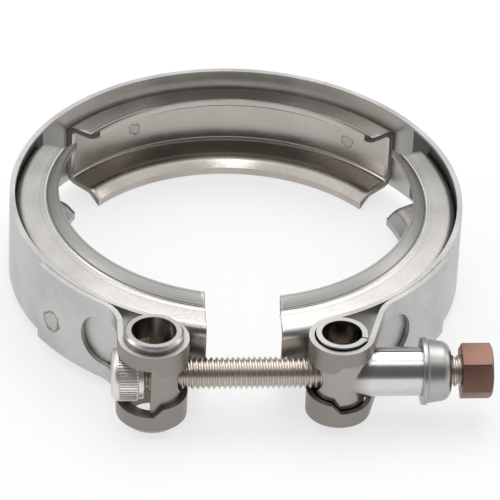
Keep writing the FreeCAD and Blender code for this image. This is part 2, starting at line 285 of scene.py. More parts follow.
def new_group(name, numbers, results):
    """A shader node group with named number inputs and outputs."""
    group = bpy.data.node_groups.new(name, "ShaderNodeTree")
    for label, value in numbers.items():
        kind = "NodeSocketVector" if isinstance(value, tuple) else "NodeSocketFloat"
        made = group.interface.new_socket(label, in_out="INPUT", socket_type=kind)
        made.default_value = value
    for label, kind in results.items():
        group.interface.new_socket(label, in_out="OUTPUT", socket_type=kind)
    start = group.nodes.new("NodeGroupInput")
    end = group.nodes.new("NodeGroupOutput")
    return group, start, end


def ring_grain_group():
    """Fine lines that run round the ring, from the strip's rolling."""
    group, start, end = new_group(
        "ring_grain", {"Lines per metre": GRAIN_LINES_PER_METRE, "Stretch": 40.0},
        {"Grain": "NodeSocketFloat"})
    new, link = group.nodes.new, group.links.new
    coordinates = new("ShaderNodeTexCoord")
    parts = new("ShaderNodeSeparateXYZ")
    angle = math_node(group.nodes, "ARCTAN2")
    arc = math_node(group.nodes, "DIVIDE")
    reach = vector_node(group.nodes, "LENGTH")
    flat = new("ShaderNodeCombineXYZ")
    joined = new("ShaderNodeCombineXYZ")
    scaled = vector_node(group.nodes, "SCALE")
    noise = new("ShaderNodeTexNoise")
    noise.inputs["Scale"].default_value = 1.0
    noise.inputs["Detail"].default_value = 3.0
    noise.inputs["Roughness"].default_value = 0.6
    link(coordinates.outputs["Object"], parts.inputs["Vector"])
    link(parts.outputs["X"], angle.inputs[0])
    link(parts.outputs["Y"], angle.inputs[1])
    link(angle.outputs[0], arc.inputs[0])
    link(start.outputs["Stretch"], arc.inputs[1])
    link(parts.outputs["X"], flat.inputs["X"])
    link(parts.outputs["Y"], flat.inputs["Y"])
    link(flat.outputs["Vector"], reach.inputs[0])
    link(arc.outputs[0], joined.inputs["X"])
    link(reach.outputs["Value"], joined.inputs["Y"])
    link(parts.outputs["Z"], joined.inputs["Z"])
    link(joined.outputs["Vector"], scaled.inputs[0])
    link(start.outputs["Lines per metre"], scaled.inputs["Scale"])
    link(scaled.outputs["Vector"], noise.inputs["Vector"])
    link(noise.outputs["Fac"], end.inputs["Grain"])
    return group


def clouds_group():
    """Broad soft patches, with a contrast of its own."""
    group, start, end = new_group(
        "clouds", {"Scale": 60.0, "Low": 0.35, "High": 0.65}, {"Patch": "NodeSocketFloat"})
    new, link = group.nodes.new, group.links.new
    coordinates = new("ShaderNodeTexCoord")
    noise = new("ShaderNodeTexNoise")
    noise.inputs["Detail"].default_value = 4.0
    spread = new("ShaderNodeMapRange")
    link(coordinates.outputs["Object"], noise.inputs["Vector"])
    link(start.outputs["Scale"], noise.inputs["Scale"])
    link(noise.outputs["Fac"], spread.inputs["Value"])
    link(start.outputs["Low"], spread.inputs["From Min"])
    link(start.outputs["High"], spread.inputs["From Max"])
    link(spread.outputs["Result"], end.inputs["Patch"])
    return group


def spot_group():
    """A soft disc and a ring round a point, for a spot weld's mark."""
    group, start, end = new_group(
        "spot_mark", {"Centre": (0.0, 0.0, 0.0), "Radius": 0.0022},
        {"Disc": "NodeSocketFloat", "Ring": "NodeSocketFloat"})
    new, link = group.nodes.new, group.links.new
    coordinates = new("ShaderNodeTexCoord")
    wobble = new("ShaderNodeTexNoise")
    wobble.inputs["Scale"].default_value = WOBBLE_SCALE
    wobble.inputs["Detail"].default_value = 5.0
    push = math_node(group.nodes, "MULTIPLY_ADD", WELD_WOBBLE, -WELD_WOBBLE / 2)
    away = vector_node(group.nodes, "DISTANCE")
    rough = math_node(group.nodes, "ADD")
    share = math_node(group.nodes, "DIVIDE")
    disc = map_range(group.nodes, From_Min=DISC_EDGE[0], From_Max=DISC_EDGE[1])
    ring = math_node(group.nodes, "SUBTRACT", RING_MIDDLE)
    ring_size = math_node(group.nodes, "ABSOLUTE")
    ring_mask = map_range(group.nodes, From_Min=RING_EDGE[0], From_Max=RING_EDGE[1])
    link(coordinates.outputs["Object"], away.inputs[0])
    link(coordinates.outputs["Object"], wobble.inputs["Vector"])
    link(start.outputs["Centre"], away.inputs[1])
    link(wobble.outputs["Fac"], push.inputs[0])
    link(away.outputs["Value"], rough.inputs[0])
    link(push.outputs[0], rough.inputs[1])
    link(rough.outputs[0], share.inputs[0])
    link(start.outputs["Radius"], share.inputs[1])
    link(share.outputs[0], disc.inputs["Value"])
    link(share.outputs[0], ring.inputs[0])
    link(ring.outputs[0], ring_size.inputs[0])
    link(ring_size.outputs[0], ring_mask.inputs["Value"])
    link(disc.outputs["Result"], end.inputs["Disc"])
    link(ring_mask.outputs["Result"], end.inputs["Ring"])
    return group


def post_group():
    """A mask round an upright axis: 1 within the radius, falling to 0 over the soft width.

    It ends at the height above and below the screw, so that rims can stay bright,
    and at a line across the ring, so that it can be kept to the front.
    """
    group, start, end = new_group(
        "post_zone",
        {"Centre": (0.0, 0.0, 0.0), "Radius": 0.004, "Soft": 0.0001,
         "Height": 1.0, "Front of": 1.0},
        {"Mask": "NodeSocketFloat"})
    new, link = group.nodes.new, group.links.new
    coordinates = new("ShaderNodeTexCoord")
    flat = vector_node(group.nodes, "MULTIPLY", (1.0, 1.0, 0.0))
    away = vector_node(group.nodes, "DISTANCE")
    edge = math_node(group.nodes, "ADD")
    mask = map_range(group.nodes, To_Min=1.0, To_Max=0.0)
    parts = new("ShaderNodeSeparateXYZ")
    level = math_node(group.nodes, "ABSOLUTE")
    inside = math_node(group.nodes, "LESS_THAN")
    both = math_node(group.nodes, "MULTIPLY")
    ahead = math_node(group.nodes, "LESS_THAN")
    limited = math_node(group.nodes, "MULTIPLY")
    link(parts.outputs["Y"], ahead.inputs[0])
    link(start.outputs["Front of"], ahead.inputs[1])
    link(coordinates.outputs["Object"], parts.inputs["Vector"])
    link(parts.outputs["Z"], level.inputs[0])
    link(level.outputs[0], inside.inputs[0])
    link(start.outputs["Height"], inside.inputs[1])
    link(coordinates.outputs["Object"], flat.inputs[0])
    link(flat.outputs["Vector"], away.inputs[0])
    link(start.outputs["Centre"], away.inputs[1])
    link(start.outputs["Radius"], edge.inputs[0])
    link(start.outputs["Soft"], edge.inputs[1])
    link(away.outputs["Value"], mask.inputs["Value"])
    link(start.outputs["Radius"], mask.inputs["From Min"])
    link(edge.outputs[0], mask.inputs["From Max"])
    link(mask.outputs["Result"], both.inputs[0])
    link(inside.outputs[0], both.inputs[1])
    link(both.outputs[0], limited.inputs[0])
    link(ahead.outputs[0], limited.inputs[1])
    link(limited.outputs[0], end.inputs["Mask"])
    return group


def ring_line_group():
    """A thin line round the ring at one radius, only above the given height."""
    group, start, end = new_group(
        "ring_line", {"Radius": 0.0363, "Width": 0.0001, "Above": 0.0},
        {"Line": "NodeSocketFloat"})
    new, link = group.nodes.new, group.links.new
    coordinates = new("ShaderNodeTexCoord")
    parts = new("ShaderNodeSeparateXYZ")
    flat = vector_node(group.nodes, "MULTIPLY", (1.0, 1.0, 0.0))
    reach = vector_node(group.nodes, "LENGTH")
    away = math_node(group.nodes, "SUBTRACT")
    size = math_node(group.nodes, "ABSOLUTE")
    mask = map_range(group.nodes, To_Min=1.0, To_Max=0.0)
    high = math_node(group.nodes, "GREATER_THAN")
    both = math_node(group.nodes, "MULTIPLY")
    link(coordinates.outputs["Object"], flat.inputs[0])
    link(coordinates.outputs["Object"], parts.inputs["Vector"])
    link(flat.outputs["Vector"], reach.inputs[0])
    link(reach.outputs["Value"], away.inputs[0])
    link(start.outputs["Radius"], away.inputs[1])
    link(away.outputs[0], size.inputs[0])
    link(size.outputs[0], mask.inputs["Value"])
    link(start.outputs["Width"], mask.inputs["From Max"])
    link(parts.outputs["Z"], high.inputs[0])
    link(start.outputs["Above"], high.inputs[1])
    link(mask.outputs["Result"], both.inputs[0])
    link(high.outputs[0], both.inputs[1])
    link(both.outputs[0], end.inputs["Line"])
    return group


RING_GRAIN = ring_grain_group()
CLOUDS = clouds_group()
SPOT = spot_group()
POST = post_group()
RING_LINE = ring_line_group()
print("groups:", [g.name for g in bpy.data.node_groups])

# %% [markdown]
# All the steels share one recipe. The colour moves a little between two close
# tones, the roughness moves with the grain and the patches, and a very small
# bump makes the highlights break up as they do on rolled sheet.

# %% Write the steel recipe
WELD_DISC_SHARE = 0.2
WELD_RING_SHARE = 0.75


def place_group(material, group, **values):
    """The group placed in the material; an underscore in a label stands for a space."""
    node = material.node_tree.nodes.new("ShaderNodeGroup")
    node.node_tree = group
    for label, value in values.items():
        node.inputs[label.replace("_", " ")].default_value = value
    return node


def two_tones(material, dark, light, factor):
    """A colour between the two, as the factor says."""
    mix = colour_mix(material.node_tree.nodes, A=dark, B=light)
    material.node_tree.links.new(factor, mix.inputs["Factor"])
    return mix.outputs["Result"]


def spread_value(material, value, low, high):
    """The value from 0 to 1 spread from low to high."""
    node = map_range(material.node_tree.nodes, To_Min=low, To_Max=high)
    material.node_tree.links.new(value, node.inputs["Value"])
    return node.outputs["Result"]


def stain_or_painted_light(material, mask, colour, share):
    """Lay a colour over the base colour where the mask is 1, for a real stain or for painted light
    or shade; share says how strongly.
    """
    tree = material.node_tree
    shader = tree.nodes["Principled BSDF"]
    before = shader.inputs["Base Color"].links[0].from_socket
    amount = math_node(tree.nodes, "MULTIPLY", share)
    amount.use_clamp = True
    mix = colour_mix(tree.nodes, B=colour)
    tree.links.new(mask, amount.inputs[0])
    tree.links.new(amount.outputs[0], mix.inputs["Factor"])
    tree.links.new(before, mix.inputs["A"])
    tree.links.new(mix.outputs["Result"], shader.inputs["Base Color"])


def weld_mark(material, place, radius, colour):
    """A faint disc with a stronger ring."""
    spot = place_group(material, SPOT, Centre=place, Radius=radius)
    stain_or_painted_light(material, spot.outputs["Disc"], colour, WELD_DISC_SHARE)
    stain_or_painted_light(material, spot.outputs["Ring"], colour, WELD_RING_SHARE)


def steel(name, dark, light, smooth, rough, grain_height, patch_scale=60.0):
    """A metal whose tone and roughness both follow half the grain and half the patches."""
    material = bpy.data.materials.new(name)
    material.use_nodes = True
    tree = material.node_tree
    shader = tree.nodes["Principled BSDF"]
    shader.inputs["Metallic"].default_value = 1.0
    grain = place_group(material, RING_GRAIN)
    patch = place_group(material, CLOUDS, Scale=patch_scale)
    both = math_node(tree.nodes, "MULTIPLY_ADD", 0.5)
    tree.links.new(two_tones(material, dark, light, both.outputs[0]), shader.inputs["Base Color"])
    half_patch = math_node(tree.nodes, "MULTIPLY", 0.5)
    tree.links.new(patch.outputs["Patch"], half_patch.inputs[0])
    tree.links.new(grain.outputs["Grain"], both.inputs[0])
    tree.links.new(half_patch.outputs[0], both.inputs[2])
    roughness = spread_value(material, both.outputs[0], smooth, rough)
    tree.links.new(roughness, shader.inputs["Roughness"])
    bump = tree.nodes.new("ShaderNodeBump")
    bump.inputs["Distance"].default_value = grain_height
    bump.inputs["Strength"].default_value = 1.0
    tree.links.new(grain.outputs["Grain"], bump.inputs["Height"])
    tree.links.new(bump.outputs["Normal"], shader.inputs["Normal"])
    return material


STEELS = [
    # name, darker tone, lighter tone, least and most roughness, height of grain, scale of patches
    ("strap_steel", (0.42, 0.41, 0.40), (0.68, 0.67, 0.655), 0.34, 0.54, 0.00001, 90.0),
    ("segment_steel", (0.36, 0.345, 0.33), (0.66, 0.645, 0.625), 0.22, 0.42, 0.00002),
    ("back_steel", (0.40, 0.37, 0.335), (0.60, 0.565, 0.525), 0.15, 0.32, 0.00001),
    ("cut_edge", (0.12, 0.11, 0.10), (0.42, 0.40, 0.38), 0.35, 0.60, 0.00003, 400.0),
    ("left_trunnion_steel", (0.46, 0.45, 0.43), (0.62, 0.61, 0.60), 0.22, 0.38, 0.000006),
    ("collar_steel", (0.38, 0.37, 0.355), (0.54, 0.53, 0.52), 0.26, 0.42, 0.000006),
    ("sleeve_steel", (0.56, 0.555, 0.55), (0.74, 0.735, 0.73), 0.12, 0.26, 0.000004),
    ("screw_steel", (0.56, 0.51, 0.46), (0.76, 0.71, 0.66), 0.24, 0.42, 0.000004),
    ("head_steel", (0.66, 0.64, 0.61), (0.86, 0.84, 0.81), 0.28, 0.44, 0.000004),
    ("copper_brown", (0.15, 0.082, 0.063), (0.26, 0.15, 0.12), 0.32, 0.48, 0.000006),
]
FINISHES = {steel_facts[0]: steel(*steel_facts) for steel_facts in STEELS}
print("finishes:", sorted(FINISHES))

# %% [markdown]
# Wear and painted light are both local, so they are put on by place. The
# loops' and the trunnions' sides are browner than the ring and carry painted
# shade, while their rims stay bright. The bores get painted shade. Each spot
# weld has left a dull disc with a darker ring round it. The strap's inner side
# gets painted shade behind the side segments, the lips get painted shade, and
# thin lines round the segments' upper legs and lips are painted shade in the
# creases, with one painted highlight line among them.

# %% Add the local marks and the painted light
SCREW_Y = -0.04575
LEFT_TRUNNION_RADIUS = 0.0056
RIGHT_TRUNNION_X = 0.016692
LEFT_POST = (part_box("left_trunnion")[0].x + LEFT_TRUNNION_RADIUS, SCREW_Y, 0.0)
RIGHT_POST = (RIGHT_TRUNNION_X, SCREW_Y, 0.0)
RING_AXIS = (0.0, 0.0, 0.0)
# A browner tone with painted shade, for the sides of the loops and trunnions
BROWN_WITH_SHADE = (0.27, 0.245, 0.22)
# Painted shade inside the bores
BORE_SHADE = (0.20, 0.175, 0.15)
# Painted shade, for the strap's inner side and the creases round the segments
PAINTED_SHADE = (0.085, 0.08, 0.075)
# Painted shade on the segments' lips
LIP_SHADE = (0.36, 0.35, 0.335)
# A painted highlight line on the segments' legs
PAINTED_HIGHLIGHT = (0.95, 0.95, 0.94)
WELD_GREY = (0.16, 0.15, 0.135)
ZONES = [
    # finish, axis, radius, soft edge, height, front of, colour, share
    # Browner tone with painted shade on the loops' sides; the rims stay bright
    ("strap_steel", LEFT_POST, 0.0066, 0.0050, 0.00845, 1.0, BROWN_WITH_SHADE, 0.9),
    ("strap_steel", RIGHT_POST, 0.0064, 0.0050, 0.00845, 1.0, BROWN_WITH_SHADE, 0.9),
    # Painted shade on the strap's inner side behind the side segments
    ("strap_steel", RING_AXIS, 0.04265, 0.0001, 0.00800, 0.022, PAINTED_SHADE, 0.85),
    # Browner tone with painted shade on the trunnions' sides
    ("left_trunnion_steel", LEFT_POST, 0.0070, 0.0010, 0.00950, 1.0, BROWN_WITH_SHADE, 0.85),
    # Painted shade in the bore
    ("left_trunnion_steel", LEFT_POST, 0.00418, 0.00015, 1.0, 1.0, BORE_SHADE, 1.0),
    ("sleeve_steel", RIGHT_POST, 0.0050, 0.0022, 0.00900, 1.0, BROWN_WITH_SHADE, 0.75),
    ("sleeve_steel", RIGHT_POST, 0.00372, 0.00015, 1.0, 1.0, BORE_SHADE, 1.0),
    # Painted shade on the lips
    ("segment_steel", RING_AXIS, 0.03620, 0.00010, 1.0, 1.0, LIP_SHADE, 0.8),
]
for finish, post, radius, soft, height, front_of, colour, share in ZONES:
    zone = place_group(FINISHES[finish], POST, Centre=post, Radius=radius, Soft=soft,
                       Height=height, Front_of=front_of)
    stain_or_painted_light(FINISHES[finish], zone.outputs["Mask"], colour, share)
UPPER_SIDE = 0.004
# Thin lines round the segments: painted shade in the creases and one painted highlight line
LINES = [
    # finish, radius, half width, colour, share
    ("segment_steel", 0.03632, 0.00020, PAINTED_SHADE, 1.0),
    ("segment_steel", 0.03672, 0.00014, PAINTED_HIGHLIGHT, 0.8),
    ("segment_steel", 0.03780, 0.00008, PAINTED_SHADE, 0.45),
    ("segment_steel", 0.03455, 0.00010, PAINTED_SHADE, 0.6),
    ("back_steel", 0.03640, 0.00014, PAINTED_SHADE, 0.6),
]
for finish, radius, width, colour, share in LINES:
    line = place_group(FINISHES[finish], RING_LINE, Radius=radius, Width=width, Above=UPPER_SIDE)
    stain_or_painted_light(FINISHES[finish], line.outputs["Line"], colour, share)
WELDS = [
    # finish, place, radius
    ("back_steel", (-0.01747, 0.03751, -0.00174), 0.0013),
    ("back_steel", (0.02470, 0.03320, -0.00222), 0.0013),
    ("strap_steel", (-0.03638, -0.02598, -0.00216), 0.0022),
]
for finish, place, radius in WELDS:
    weld_mark(FINISHES[finish], place, radius, WELD_GREY)
print(len(ZONES), "zones,", len(LINES), "lines,", len(WELDS), "weld marks")

# %% [markdown]
# The three V segments are pressed from strip with one die, so they share one
# cross section: a flat web against the strap, two legs that slope towards the
# pipe, and lips that flare out beside it. The section could be modelled by hand
# and swept along a curve, but a spin about the pipe's axis gives the same
# exact arcs as the press and needs no curve. The section is drawn once here.

# %% Draw the segments' cross section
WEB_OUTER_RADIUS = 0.04258
SHEET = 0.0012
WEB_HALF_HEIGHT = 0.0060
WEB_BEND = 0.0014
LEG_SLOPE = math.tan(math.radians(5.0))
LIP_ANGLE = math.radians(40.0)
LIP_INNER_RADIUS = 0.0342
LIP_BEND = 0.0035
SEGMENT_TOP = 0.00915
BEND_STEPS = 10
CREASE_DEPTH = 0.00014


def bent_line(corners, radii, side):
    """Points of a line through the corners, bends rounded, moved sideways by side."""
    points = []
    for index, corner in enumerate(corners):
        if index in (0, len(corners) - 1):
            other = corners[1] if index == 0 else corners[-2]
            along = (other - corner) if index == 0 else (corner - other)
            along.normalize()
            points.append(corner + Vector((-along.y, along.x)) * side)
            continue
        arriving = (corner - corners[index - 1]).normalized()
        leaving = (corners[index + 1] - corner).normalized()
        turn = math.atan2(arriving.x * leaving.y - arriving.y * leaving.x, arriving.dot(leaving))
        radius = radii[index - 1]
        start = corner - arriving * radius * math.tan(abs(turn) / 2)
        left = Vector((-arriving.y, arriving.x))
        hand = 1.0 if turn > 0 else -1.0
        centre = start + left * radius * hand
        spoke = start + left * side - centre
        for step in range(BEND_STEPS + 1):
            part = turn * step / BEND_STEPS
            points.append(centre + Matrix.Rotation(part, 2) @ spoke)
    return points


def cut_square(line):
    """Move the line's two ends along it to where the radius is that of the lip's inner edge."""
    for end, before in ((0, 1), (-1, -2)):
        share = (LIP_INNER_RADIUS - line[before].x) / (line[end].x - line[before].x)
        line[end] = line[before] + (line[end] - line[before]) * share
    return line


def segment_section():
    """The closed outline of the segment's section, as (radius, height) points."""
    web = WEB_OUTER_RADIUS - SHEET / 2
    lip_slope = math.tan(LIP_ANGLE)
    tip_top = SEGMENT_TOP - SHEET / 2 / math.cos(LIP_ANGLE)
    rise = tip_top - WEB_HALF_HEIGHT + lip_slope * LIP_INNER_RADIUS - LEG_SLOPE * web
    knee = rise / (lip_slope - LEG_SLOPE)
    knee_top = WEB_HALF_HEIGHT + LEG_SLOPE * (web - knee)
    end, end_top = LIP_INNER_RADIUS - SHEET, tip_top + lip_slope * SHEET
    corners = [Vector(c) for c in (
        (end, -end_top), (knee, -knee_top), (web, -WEB_HALF_HEIGHT),
        (web, WEB_HALF_HEIGHT), (knee, knee_top), (end, end_top))]
    radii = [LIP_BEND, WEB_BEND, WEB_BEND, LIP_BEND]
    inside = cut_square(bent_line(corners, radii, SHEET / 2))
    outside = cut_square(bent_line(corners, radii, -SHEET / 2))
    # The die has left a sharp crease along the middle of each outer lip bend
    bend_middle = 1 + BEND_STEPS // 2
    for index in (bend_middle, -1 - bend_middle):
        inwards = inside[index] - outside[index]
        outside[index] = outside[index] + inwards.normalized() * CREASE_DEPTH
    return inside + outside[::-1]


SECTION = segment_section()
print("section:", len(SECTION), "points,", round(1000 * 2 * SEGMENT_TOP, 1), "mm high")

# %% [markdown]
# The new pieces are all made the same way: an outline is drawn, turned or
# pulled into a solid, capped, softened and shaded. These steps are written once.

# %% Write helpers for spun and edited pieces
MERGE_DISTANCE = 0.000002


def start_piece(name, points, loop=True):
    """A new mesh object whose edges join the points, and which is closed if loop is true."""
    bpy.ops.object.select_all(action="DESELECT")
    mesh = bpy.data.meshes.new(name)
    count = len(points)
    edges = [(i, (i + 1) % count) for i in range(count if loop else count - 1)]
    mesh.from_pydata([tuple(p) for p in points], edges, [])
    piece = bpy.data.objects.new(name, mesh)
    bpy.context.scene.collection.objects.link(piece)
    bpy.context.view_layer.objects.active = piece
    piece.select_set(True)
    return piece


def spin(piece, axis, centre, angle, steps):
    """Spin all of the piece's outline about the axis and merge what meets."""
    bpy.ops.object.mode_set(mode="EDIT")
    bpy.ops.mesh.select_all(action="SELECT")
    bpy.ops.mesh.spin(steps=steps, angle=angle, center=centre, axis=axis)
    bpy.ops.mesh.select_all(action="SELECT")
    bpy.ops.mesh.remove_doubles(threshold=MERGE_DISTANCE)
    bpy.ops.mesh.normals_make_consistent(inside=False)
    bpy.ops.object.mode_set(mode="OBJECT")


def cap_open_ends(piece):
    """Fill each open loop of edges with one face."""
    bpy.ops.object.mode_set(mode="EDIT")
    bpy.ops.mesh.select_all(action="SELECT")
    bpy.ops.mesh.region_to_loop()
    bpy.ops.mesh.edge_face_add()
    bpy.ops.mesh.select_all(action="SELECT")
    bpy.ops.mesh.normals_make_consistent(inside=False)
    bpy.ops.object.mode_set(mode="OBJECT")


def apply_modifier(piece, modifier):
    """Make the modifier's result the piece's own mesh."""
    bpy.context.view_layer.objects.active = piece
    bpy.ops.object.modifier_apply(modifier=modifier.name)


def soften_edges(piece, width, segments=2, angle=50.0):
    """Round the sharp edges of the piece, as tumbling and handling do."""
    bevel = piece.modifiers.new("soften", "BEVEL")
    bevel.width = width
    bevel.segments = segments
    bevel.limit_method = "ANGLE"
    bevel.angle_limit = math.radians(angle)
    apply_modifier(piece, bevel)


def shade_smooth(piece, angle=35.0):
    """Smooth shading, except over edges sharper than the angle."""
    bpy.ops.object.select_all(action="DESELECT")
    piece.select_set(True)
    bpy.context.view_layer.objects.active = piece
    bpy.ops.object.shade_smooth_by_angle(angle=math.radians(angle))


def finish_piece(piece, body, finish, stands_for):
    """Dress the piece, let it ride on its body and let it stand for its CAD node."""
    if not piece.data.materials:
        piece.data.materials.append(FINISHES[finish])
    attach(piece, body)
    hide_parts(stands_for)
    size = [round(1000 * v, 1) for v in piece.dimensions]
    print(piece.name, size, "mm,", len(piece.data.polygons), "faces")


print("helpers for drawing, spinning, capping, softening and finishing")

# %% [markdown]
# Each segment is the same section spun through its own arc. The back one was
# cut square to the ring. The two side ones were cut off at the front so that
# both faces of the gap stand parallel, which a bisect does in one stroke.

# %% Spin the three segments
BACK_START = math.radians(-47.4)
BACK_TURN = math.radians(98.6)
REAR_GAP = math.radians(14.4)
BACK_LIFT = -0.0015
LEFT_LIFT = 0.0006
LEFT_FRONT_X = -0.0081
RIGHT_FRONT_X = 0.0060
ARC_STEP = math.radians(1.5)
SHEET_EDGE = 0.00018
END_FACE_SHARE = 0.85


def ring_direction(angle, radius, height):
    """A point at the angle from the ring's back (+Y), growing towards +X."""
    return Vector((radius * math.sin(angle), radius * math.cos(angle), height))


def dress_cut_ends(piece, finish, end_finish):
    """The finish everywhere, and the end finish on the faces that look along the ring."""
    piece.data.materials.clear()
    piece.data.materials.append(FINISHES[finish])
    piece.data.materials.append(FINISHES[end_finish])
    for face in piece.data.polygons:
        along = Vector((face.center.y, -face.center.x, 0.0)).normalized()
        face.material_index = 1 if abs(face.normal.dot(along)) > END_FACE_SHARE else 0


def make_segment(name, start, arc, lift, front_x=None):
    """A segment from the start angle through the arc, cut off at front_x where it is given."""
    piece = start_piece(name, [ring_direction(start, r, h + lift) for r, h in SECTION])
    spin(piece, (0, 0, 1), RING_AXIS, arc, round(arc / ARC_STEP))
    if front_x is not None:
        bpy.ops.object.mode_set(mode="EDIT")
        bpy.ops.mesh.select_all(action="SELECT")
        bpy.ops.mesh.bisect(plane_co=(front_x, 0, 0), plane_no=(1, 0, 0),
                            clear_inner=front_x > 0, clear_outer=front_x < 0)
        bpy.ops.object.mode_set(mode="OBJECT")
    cap_open_ends(piece)
    soften_edges(piece, SHEET_EDGE)
    shade_smooth(piece)
    return piece


segment_facts = [
    # name, CAD node, finish, start angle, arc, lift, where its front is cut off
    ("back_profile", "back_segment", "back_steel", BACK_START, BACK_TURN, BACK_LIFT, None),
    ("right_profile", "right_segment", "segment_steel", BACK_START + BACK_TURN + REAR_GAP,
     math.pi - (BACK_START + BACK_TURN + REAR_GAP), 0.0, RIGHT_FRONT_X),
    ("left_profile", "left_segment", "segment_steel", math.pi,
     math.pi + BACK_START - REAR_GAP, LEFT_LIFT, LEFT_FRONT_X),
]
for name, node_name, finish, start, arc, lift, front_x in segment_facts:
    piece = make_segment(name, start, arc, lift, front_x)
    dress_cut_ends(piece, finish, "cut_edge")
    finish_piece(piece, "clamp", finish, node_name)

# %% [markdown]
# The screw is the piece that the eye goes to. Its thread could be a picture of
# lines on a cylinder, but the crests show against the white floor, so it is
# real: one pitch of the thread's outline, turned and carried along by a Screw
# modifier, then cut off square at both ends.

# %% Cut the thread
PITCH = 0.0010
CREST_RADIUS = 0.00298
ROOT_RADIUS = 0.00245
HEAD_LENGTH = 0.0059
HEAD_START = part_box("clamp_screw")[0].x
SHOULDER_X = HEAD_START + HEAD_LENGTH
TIP_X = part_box("clamp_screw")[1].x
THREAD_STEPS = 28
THREAD_MERGE = 0.000005
TURN_MERGE = 0.000004
NECK_OVERLAP = 0.0003
# Where one pitch of the outline turns, as shares of the pitch, and its radius there
THREAD_FORM = [
    (0.0, ROOT_RADIUS), (0.08, ROOT_RADIUS), (0.46, CREST_RADIUS),
    (0.60, CREST_RADIUS), (0.98, ROOT_RADIUS), (1.0, ROOT_RADIUS)]


def thread_outline():
    """One pitch of the thread from root to root, as points beside the screw's axis."""
    first = SHOULDER_X - 1.5 * PITCH
    return [Vector((first + share * PITCH, SCREW_Y - radius, 0.0)) for share, radius in THREAD_FORM]


def make_thread():
    """The thread along the whole screw, made round the X axis and then moved into place."""
    piece = start_piece("thread_blank", thread_outline(), loop=False)
    for vertex in piece.data.vertices:
        vertex.co.y -= SCREW_Y
    turns = math.ceil((TIP_X - SHOULDER_X) / PITCH) + 3
    screw = piece.modifiers.new("turn", "SCREW")
    screw.axis = "X"
    screw.angle = 2 * math.pi
    screw.screw_offset = PITCH
    screw.iterations = turns
    screw.steps = THREAD_STEPS
    screw.render_steps = THREAD_STEPS
    screw.use_merge_vertices = True
    screw.merge_threshold = THREAD_MERGE
    apply_modifier(piece, screw)
    for vertex in piece.data.vertices:
        vertex.co.y += SCREW_Y
    bpy.ops.object.mode_set(mode="EDIT")
    for plane_x, inner, outer in ((SHOULDER_X - NECK_OVERLAP, True, False), (TIP_X, False, True)):
        bpy.ops.mesh.select_all(action="SELECT")
        bpy.ops.mesh.remove_doubles(threshold=TURN_MERGE)
        bpy.ops.mesh.bisect(plane_co=(plane_x, SCREW_Y, 0), plane_no=(1, 0, 0),
                            clear_inner=inner, clear_outer=outer)
    bpy.ops.object.mode_set(mode="OBJECT")
    cap_open_ends(piece)
    return piece


thread = make_thread()
low = min(v.co.x for v in thread.data.vertices)
high = max(v.co.x for v in thread.data.vertices)
print("thread from", round(1000 * low, 2), "to", round(1000 * high, 2), "mm,",
      len(thread.data.polygons), "faces")

# %% [markdown]
# The screw's head is a plain turned button with a straight knurl pressed into
# its rim. It is extruded ring by ring from one circle, like a lathe drawing,
# and then every third point of the knurled rings is pushed in, which leaves
# ridges that run along the screw. Thread and head are joined into one piece.

# %% Turn the knurled head and join it to the thread
HEAD_RADIUS = 0.00505
# The round rim of the head's outer face, as how far along and how far in from the full radius
HEAD_ROUND = [(0.0, 0.0010), (0.00008, 0.00062), (0.00029, 0.00029), (0.00062, 0.00008)]
RIDGES = 58
RIM_POINTS = 3 * RIDGES
GROOVE_DEPTH = 0.00024
NECK_RADIUS = 0.00465
NECK_LENGTH = 0.0011
NECK_STEP = 0.00005
NECK_CHAMFER = 0.00015
KNURL_EDGE = 0.0001
KNURL_START = HEAD_START + 0.0010
KNURL_END = SHOULDER_X - NECK_LENGTH


def lathe_up(piece, stations):
    """Extrude the piece's only face from ring to ring along X; each station is (x, radius)."""
    bpy.ops.object.mode_set(mode="EDIT")
    bpy.ops.mesh.select_all(action="SELECT")
    for (x, radius), (next_x, next_radius) in zip(stations, stations[1:]):
        bpy.ops.mesh.extrude_region_move(TRANSFORM_OT_translate={"value": (next_x - x, 0, 0)})
        share = next_radius / radius
        if abs(share - 1.0) > 1e-6:
            bpy.ops.transform.resize(value=(1, share, share), center_override=(next_x, SCREW_Y, 0))
    bpy.ops.mesh.select_all(action="SELECT")
    bpy.ops.mesh.normals_make_consistent(inside=False)
    bpy.ops.object.mode_set(mode="OBJECT")


